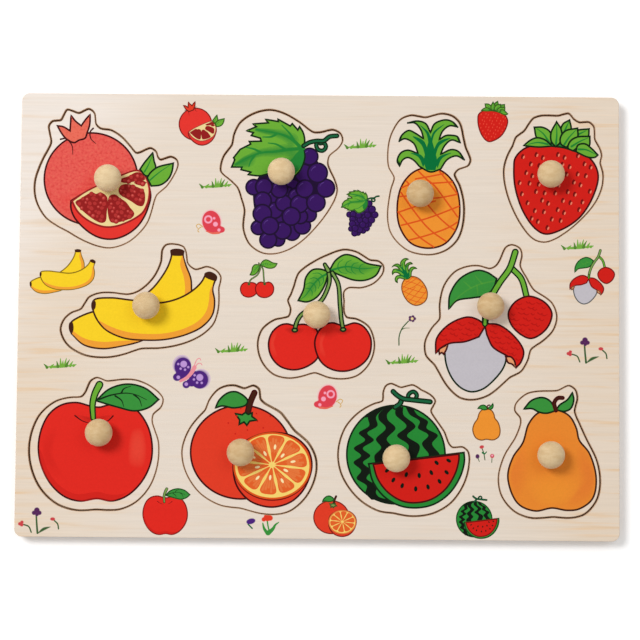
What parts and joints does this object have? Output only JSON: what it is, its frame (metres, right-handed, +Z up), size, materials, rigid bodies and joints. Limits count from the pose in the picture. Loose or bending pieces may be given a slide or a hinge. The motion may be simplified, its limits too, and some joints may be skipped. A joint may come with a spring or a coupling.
{
  "type": "wooden peg puzzle",
  "caption": "Flat wooden peg puzzle board with printed fruit shapes that lift out of their recesses by turned wooden knobs.",
  "frame": {"origin": "under the middle of the board, on the surface it lies on", "axes": "+X along the board's long side to the right, +Y across it away from the child, +Z up out of the printed face"},
  "size_m": [0.3, 0.222, 0.021],
  "materials": {
    "plain_ply": "sanded, unpainted plywood",
    "printed_board": "satin print of pale wood on plywood, with small printed motifs",
    "turned_wood": "turned and sanded, thin clear coat",
    "zinc_screw": "bright zinc plate",
    "pomegranate_print": "satin print on plywood",
    "grape_print": "satin print on plywood",
    "pineapple_print": "satin print on plywood",
    "strawberry_print": "satin print on plywood",
    "banana_print": "satin print on plywood",
    "cherry_print": "satin print on plywood",
    "lychee_print": "satin print on plywood",
    "apple_print": "satin print on plywood",
    "orange_print": "satin print on plywood",
    "watermelon_print": "satin print on plywood",
    "pear_print": "satin print on plywood"
  },
  "bodies": {
    "board": {"back_panel": "plain_ply", "top_panel": "printed_board"},
    "pomegranate": {"pomegranate_piece": "pomegranate_print", "pomegranate_knob": "turned_wood", "pomegranate_screw": "zinc_screw"},
    "grape": {"grape_piece": "grape_print", "grape_knob": "turned_wood", "grape_screw": "zinc_screw"},
    "pineapple": {"pineapple_piece": "pineapple_print", "pineapple_knob": "turned_wood", "pineapple_screw": "zinc_screw"},
    "strawberry": {"strawberry_piece": "strawberry_print", "strawberry_knob": "turned_wood", "strawberry_screw": "zinc_screw"},
    "banana": {"banana_piece": "banana_print", "banana_knob": "turned_wood", "banana_screw": "zinc_screw"},
    "cherry": {"cherry_piece": "cherry_print", "cherry_knob": "turned_wood", "cherry_screw": "zinc_screw"},
    "lychee": {"lychee_piece": "lychee_print", "lychee_knob": "turned_wood", "lychee_screw": "zinc_screw"},
    "apple": {"apple_piece": "apple_print", "apple_knob": "turned_wood", "apple_screw": "zinc_screw"},
    "orange": {"orange_piece": "orange_print", "orange_knob": "turned_wood", "orange_screw": "zinc_screw"},
    "watermelon": {"watermelon_piece": "watermelon_print", "watermelon_knob": "turned_wood", "watermelon_screw": "zinc_screw"},
    "pear": {"pear_piece": "pear_print", "pear_knob": "turned_wood", "pear_screw": "zinc_screw"}
  },
  "joints": [
    {"name": "pomegranate_lift", "type": "slide", "parent": "board", "child": "pomegranate", "axis": [0, 0, 1], "range_m": [0, 0.04]},
    {"name": "grape_lift", "type": "slide", "parent": "board", "child": "grape", "axis": [0, 0, 1], "range_m": [0, 0.04]},
    {"name": "pineapple_lift", "type": "slide", "parent": "board", "child": "pineapple", "axis": [0, 0, 1], "range_m": [0, 0.04]},
    {"name": "strawberry_lift", "type": "slide", "parent": "board", "child": "strawberry", "axis": [0, 0, 1], "range_m": [0, 0.04]},
    {"name": "banana_lift", "type": "slide", "parent": "board", "child": "banana", "axis": [0, 0, 1], "range_m": [0, 0.04]},
    {"name": "cherry_lift", "type": "slide", "parent": "board", "child": "cherry", "axis": [0, 0, 1], "range_m": [0, 0.04]},
    {"name": "lychee_lift", "type": "slide", "parent": "board", "child": "lychee", "axis": [0, 0, 1], "range_m": [0, 0.04]},
    {"name": "apple_lift", "type": "slide", "parent": "board", "child": "apple", "axis": [0, 0, 1], "range_m": [0, 0.04]},
    {"name": "orange_lift", "type": "slide", "parent": "board", "child": "orange", "axis": [0, 0, 1], "range_m": [0, 0.04]},
    {"name": "watermelon_lift", "type": "slide", "parent": "board", "child": "watermelon", "axis": [0, 0, 1], "range_m": [0, 0.04]},
    {"name": "pear_lift", "type": "slide", "parent": "board", "child": "pear", "axis": [0, 0, 1], "range_m": [0, 0.04]}
  ]
}
